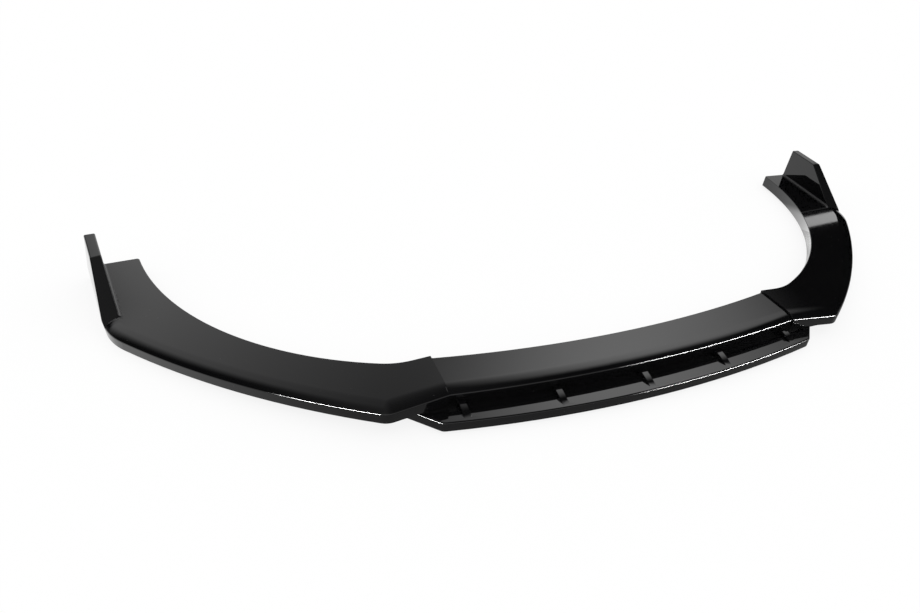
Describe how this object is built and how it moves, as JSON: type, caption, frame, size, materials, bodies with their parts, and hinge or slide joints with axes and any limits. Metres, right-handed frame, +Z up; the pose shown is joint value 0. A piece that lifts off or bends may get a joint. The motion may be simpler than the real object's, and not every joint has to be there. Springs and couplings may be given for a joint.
{
  "type": "front splitter lip",
  "caption": "Gloss black front bumper splitter lip: curved wings with raked upright winglets, a lapped centre panel and a lower blade with ribs in front of it.",
  "frame": {"origin": "on the centreline, on the flat seat on top of the centre panel", "axes": "+Z up, +X to the right as seen from in front of the car, -Y towards the front of the car"},
  "size_m": [1.8096, 0.6646, 0.1024],
  "materials": {
    "gloss_black": "high gloss",
    "black_steel": "black plated",
    "plated_steel": "plain plated"
  },
  "bodies": {
    "root": {"wing_left": "gloss_black", "wing_right": "gloss_black", "centre_panel": "gloss_black", "lower_blade": "gloss_black", "joint_bolts": "black_steel", "joint_washers": "plated_steel", "joint_nuts": "plated_steel", "blade_screws": "black_steel"}
  },
  "joints": []
}
